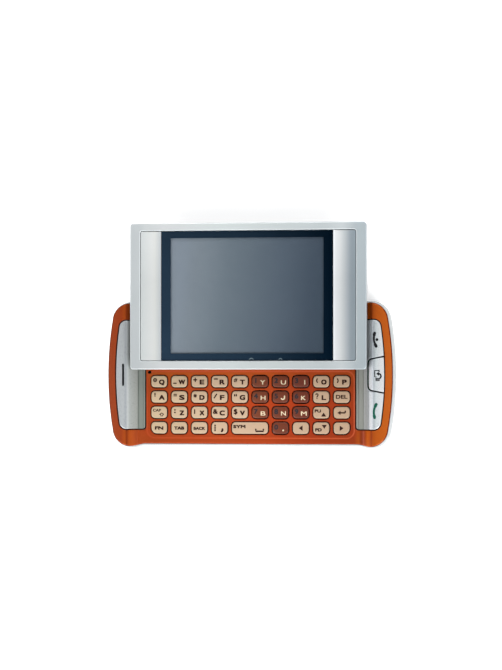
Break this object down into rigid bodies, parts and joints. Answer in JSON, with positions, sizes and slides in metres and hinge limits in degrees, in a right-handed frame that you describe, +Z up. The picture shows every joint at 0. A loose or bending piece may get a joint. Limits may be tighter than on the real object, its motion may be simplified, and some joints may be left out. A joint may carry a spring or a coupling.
{
  "type": "slider phone",
  "caption": "Landscape slider phone, open: a grey framed display half slides up off an orange and silver lower half with a full letter keyboard and three silver side keys.",
  "frame": {"origin": "middle of the lower half's back face, on the plane that the phone lies on", "axes": "+X along the long side to the right of the keyboard, +Y from the space bar towards the display, +Z up out of the keys and the display"},
  "size_m": [0.107, 0.0828, 0.018],
  "materials": {
    "silver_paint": "satin",
    "brushed_silver": "brushed",
    "orange_paint": "pearl",
    "beige_key": "satin",
    "brown_key": "satin",
    "rail_steel": "brushed",
    "dark_plastic": "matte",
    "dark_rubber": "matte",
    "circuit_board": "satin",
    "battery_wrap": "matte",
    "display_grey": "gloss",
    "window_glass": "gloss"
  },
  "bodies": {
    "base": {"rear_cover": "silver_paint", "battery_door": "silver_paint", "battery": "battery_wrap", "main_board": "circuit_board", "keypad_sheet": "dark_rubber", "front_housing": "orange_paint", "left_end_plate": "brushed_silver", "right_end_strip": "brushed_silver", "earpiece": "dark_plastic", "camera_module": "dark_plastic", "fixed_rail_plate": "rail_steel"},
    "slider": {"slider_back_cover": "dark_plastic", "moving_rail_plate": "rail_steel", "display_module": "display_grey", "slider_frame": "silver_paint", "front_fascia": "brushed_silver", "display_window": "window_glass"},
    "end_key": {"end_key": "brushed_silver"},
    "shortcut_key": {"shortcut_key": "brushed_silver"},
    "call_key": {"call_key": "brushed_silver"},
    "volume_rocker": {"volume_rocker": "silver_paint"},
    "key_q": {"key_q": "beige_key"},
    "key_w": {"key_w": "beige_key"},
    "key_e": {"key_e": "beige_key"},
    "key_r": {"key_r": "beige_key"},
    "key_t": {"key_t": "beige_key"},
    "key_y": {"key_y": "brown_key"},
    "key_u": {"key_u": "brown_key"},
    "key_i": {"key_i": "brown_key"},
    "key_o": {"key_o": "beige_key"},
    "key_p": {"key_p": "beige_key"},
    "key_a": {"key_a": "beige_key"},
    "key_s": {"key_s": "beige_key"},
    "key_d": {"key_d": "beige_key"},
    "key_f": {"key_f": "beige_key"},
    "key_g": {"key_g": "beige_key"},
    "key_h": {"key_h": "brown_key"},
    "key_j": {"key_j": "brown_key"},
    "key_k": {"key_k": "brown_key"},
    "key_l": {"key_l": "beige_key"},
    "key_delete": {"key_delete": "beige_key"},
    "key_shift": {"key_shift": "beige_key"},
    "key_z": {"key_z": "beige_key"},
    "key_x": {"key_x": "beige_key"},
    "key_c": {"key_c": "beige_key"},
    "key_v": {"key_v": "beige_key"},
    "key_b": {"key_b": "brown_key"},
    "key_n": {"key_n": "brown_key"},
    "key_m": {"key_m": "brown_key"},
    "key_up": {"key_up": "beige_key"},
    "key_enter": {"key_enter": "beige_key"},
    "key_fn": {"key_fn": "beige_key"},
    "key_tab": {"key_tab": "beige_key"},
    "key_back": {"key_back": "beige_key"},
    "key_comma": {"key_comma": "beige_key"},
    "key_space": {"key_space": "beige_key"},
    "key_zero": {"key_zero": "brown_key"},
    "key_left": {"key_left": "beige_key"},
    "key_down": {"key_down": "beige_key"},
    "key_right": {"key_right": "beige_key"}
  },
  "joints": [
    {"name": "slide_open", "type": "slide", "parent": "base", "child": "slider", "axis": [0, 1, 0], "range_m": [-0.02875, 0]},
    {"name": "end_key_press", "type": "slide", "parent": "base", "child": "end_key", "axis": [0, 0, 1], "range_m": [-0.00025, 0], "stiffness_N_per_m": 2000, "springref_m": 0.0001},
    {"name": "shortcut_key_press", "type": "slide", "parent": "base", "child": "shortcut_key", "axis": [0, 0, 1], "range_m": [-0.00025, 0], "stiffness_N_per_m": 2000, "springref_m": 0.0001},
    {"name": "call_key_press", "type": "slide", "parent": "base", "child": "call_key", "axis": [0, 0, 1], "range_m": [-0.00025, 0], "stiffness_N_per_m": 2000, "springref_m": 0.0001},
    {"name": "volume_rock", "type": "hinge", "parent": "base", "child": "volume_rocker", "pos_m": [-0.022, 0.02585, 0.005], "axis": [0, 0, 1], "range_deg": [-1.5, 1.5], "stiffness_Nm_per_rad": 0.4},
    {"name": "key_q_press", "type": "slide", "parent": "base", "child": "key_q", "axis": [0, 0, 1], "range_m": [-0.00025, 0], "stiffness_N_per_m": 2000, "springref_m": 0.0001},
    {"name": "key_w_press", "type": "slide", "parent": "base", "child": "key_w", "axis": [0, 0, 1], "range_m": [-0.00025, 0], "stiffness_N_per_m": 2000, "springref_m": 0.0001},
    {"name": "key_e_press", "type": "slide", "parent": "base", "child": "key_e", "axis": [0, 0, 1], "range_m": [-0.00025, 0], "stiffness_N_per_m": 2000, "springref_m": 0.0001},
    {"name": "key_r_press", "type": "slide", "parent": "base", "child": "key_r", "axis": [0, 0, 1], "range_m": [-0.00025, 0], "stiffness_N_per_m": 2000, "springref_m": 0.0001},
    {"name": "key_t_press", "type": "slide", "parent": "base", "child": "key_t", "axis": [0, 0, 1], "range_m": [-0.00025, 0], "stiffness_N_per_m": 2000, "springref_m": 0.0001},
    {"name": "key_y_press", "type": "slide", "parent": "base", "child": "key_y", "axis": [0, 0, 1], "range_m": [-0.00025, 0], "stiffness_N_per_m": 2000, "springref_m": 0.0001},
    {"name": "key_u_press", "type": "slide", "parent": "base", "child": "key_u", "axis": [0, 0, 1], "range_m": [-0.00025, 0], "stiffness_N_per_m": 2000, "springref_m": 0.0001},
    {"name": "key_i_press", "type": "slide", "parent": "base", "child": "key_i", "axis": [0, 0, 1], "range_m": [-0.00025, 0], "stiffness_N_per_m": 2000, "springref_m": 0.0001},
    {"name": "key_o_press", "type": "slide", "parent": "base", "child": "key_o", "axis": [0, 0, 1], "range_m": [-0.00025, 0], "stiffness_N_per_m": 2000, "springref_m": 0.0001},
    {"name": "key_p_press", "type": "slide", "parent": "base", "child": "key_p", "axis": [0, 0, 1], "range_m": [-0.00025, 0], "stiffness_N_per_m": 2000, "springref_m": 0.0001},
    {"name": "key_a_press", "type": "slide", "parent": "base", "child": "key_a", "axis": [0, 0, 1], "range_m": [-0.00025, 0], "stiffness_N_per_m": 2000, "springref_m": 0.0001},
    {"name": "key_s_press", "type": "slide", "parent": "base", "child": "key_s", "axis": [0, 0, 1], "range_m": [-0.00025, 0], "stiffness_N_per_m": 2000, "springref_m": 0.0001},
    {"name": "key_d_press", "type": "slide", "parent": "base", "child": "key_d", "axis": [0, 0, 1], "range_m": [-0.00025, 0], "stiffness_N_per_m": 2000, "springref_m": 0.0001},
    {"name": "key_f_press", "type": "slide", "parent": "base", "child": "key_f", "axis": [0, 0, 1], "range_m": [-0.00025, 0], "stiffness_N_per_m": 2000, "springref_m": 0.0001},
    {"name": "key_g_press", "type": "slide", "parent": "base", "child": "key_g", "axis": [0, 0, 1], "range_m": [-0.00025, 0], "stiffness_N_per_m": 2000, "springref_m": 0.0001},
    {"name": "key_h_press", "type": "slide", "parent": "base", "child": "key_h", "axis": [0, 0, 1], "range_m": [-0.00025, 0], "stiffness_N_per_m": 2000, "springref_m": 0.0001},
    {"name": "key_j_press", "type": "slide", "parent": "base", "child": "key_j", "axis": [0, 0, 1], "range_m": [-0.00025, 0], "stiffness_N_per_m": 2000, "springref_m": 0.0001},
    {"name": "key_k_press", "type": "slide", "parent": "base", "child": "key_k", "axis": [0, 0, 1], "range_m": [-0.00025, 0], "stiffness_N_per_m": 2000, "springref_m": 0.0001},
    {"name": "key_l_press", "type": "slide", "parent": "base", "child": "key_l", "axis": [0, 0, 1], "range_m": [-0.00025, 0], "stiffness_N_per_m": 2000, "springref_m": 0.0001},
    {"name": "key_delete_press", "type": "slide", "parent": "base", "child": "key_delete", "axis": [0, 0, 1], "range_m": [-0.00025, 0], "stiffness_N_per_m": 2000, "springref_m": 0.0001},
    {"name": "key_shift_press", "type": "slide", "parent": "base", "child": "key_shift", "axis": [0, 0, 1], "range_m": [-0.00025, 0], "stiffness_N_per_m": 2000, "springref_m": 0.0001},
    {"name": "key_z_press", "type": "slide", "parent": "base", "child": "key_z", "axis": [0, 0, 1], "range_m": [-0.00025, 0], "stiffness_N_per_m": 2000, "springref_m": 0.0001},
    {"name": "key_x_press", "type": "slide", "parent": "base", "child": "key_x", "axis": [0, 0, 1], "range_m": [-0.00025, 0], "stiffness_N_per_m": 2000, "springref_m": 0.0001},
    {"name": "key_c_press", "type": "slide", "parent": "base", "child": "key_c", "axis": [0, 0, 1], "range_m": [-0.00025, 0], "stiffness_N_per_m": 2000, "springref_m": 0.0001},
    {"name": "key_v_press", "type": "slide", "parent": "base", "child": "key_v", "axis": [0, 0, 1], "range_m": [-0.00025, 0], "stiffness_N_per_m": 2000, "springref_m": 0.0001},
    {"name": "key_b_press", "type": "slide", "parent": "base", "child": "key_b", "axis": [0, 0, 1], "range_m": [-0.00025, 0], "stiffness_N_per_m": 2000, "springref_m": 0.0001},
    {"name": "key_n_press", "type": "slide", "parent": "base", "child": "key_n", "axis": [0, 0, 1], "range_m": [-0.00025, 0], "stiffness_N_per_m": 2000, "springref_m": 0.0001},
    {"name": "key_m_press", "type": "slide", "parent": "base", "child": "key_m", "axis": [0, 0, 1], "range_m": [-0.00025, 0], "stiffness_N_per_m": 2000, "springref_m": 0.0001},
    {"name": "key_up_press", "type": "slide", "parent": "base", "child": "key_up", "axis": [0, 0, 1], "range_m": [-0.00025, 0], "stiffness_N_per_m": 2000, "springref_m": 0.0001},
    {"name": "key_enter_press", "type": "slide", "parent": "base", "child": "key_enter", "axis": [0, 0, 1], "range_m": [-0.00025, 0], "stiffness_N_per_m": 2000, "springref_m": 0.0001},
    {"name": "key_fn_press", "type": "slide", "parent": "base", "child": "key_fn", "axis": [0, 0, 1], "range_m": [-0.00025, 0], "stiffness_N_per_m": 2000, "springref_m": 0.0001},
    {"name": "key_tab_press", "type": "slide", "parent": "base", "child": "key_tab", "axis": [0, 0, 1], "range_m": [-0.00025, 0], "stiffness_N_per_m": 2000, "springref_m": 0.0001},
    {"name": "key_back_press", "type": "slide", "parent": "base", "child": "key_back", "axis": [0, 0, 1], "range_m": [-0.00025, 0], "stiffness_N_per_m": 2000, "springref_m": 0.0001},
    {"name": "key_comma_press", "type": "slide", "parent": "base", "child": "key_comma", "axis": [0, 0, 1], "range_m": [-0.00025, 0], "stiffness_N_per_m": 2000, "springref_m": 0.0001},
    {"name": "key_space_press", "type": "slide", "parent": "base", "child": "key_space", "axis": [0, 0, 1], "range_m": [-0.00025, 0], "stiffness_N_per_m": 2000, "springref_m": 0.0001},
    {"name": "key_zero_press", "type": "slide", "parent": "base", "child": "key_zero", "axis": [0, 0, 1], "range_m": [-0.00025, 0], "stiffness_N_per_m": 2000, "springref_m": 0.0001},
    {"name": "key_left_press", "type": "slide", "parent": "base", "child": "key_left", "axis": [0, 0, 1], "range_m": [-0.00025, 0], "stiffness_N_per_m": 2000, "springref_m": 0.0001},
    {"name": "key_down_press", "type": "slide", "parent": "base", "child": "key_down", "axis": [0, 0, 1], "range_m": [-0.00025, 0], "stiffness_N_per_m": 2000, "springref_m": 0.0001},
    {"name": "key_right_press", "type": "slide", "parent": "base", "child": "key_right", "axis": [0, 0, 1], "range_m": [-0.00025, 0], "stiffness_N_per_m": 2000, "springref_m": 0.0001}
  ]
}
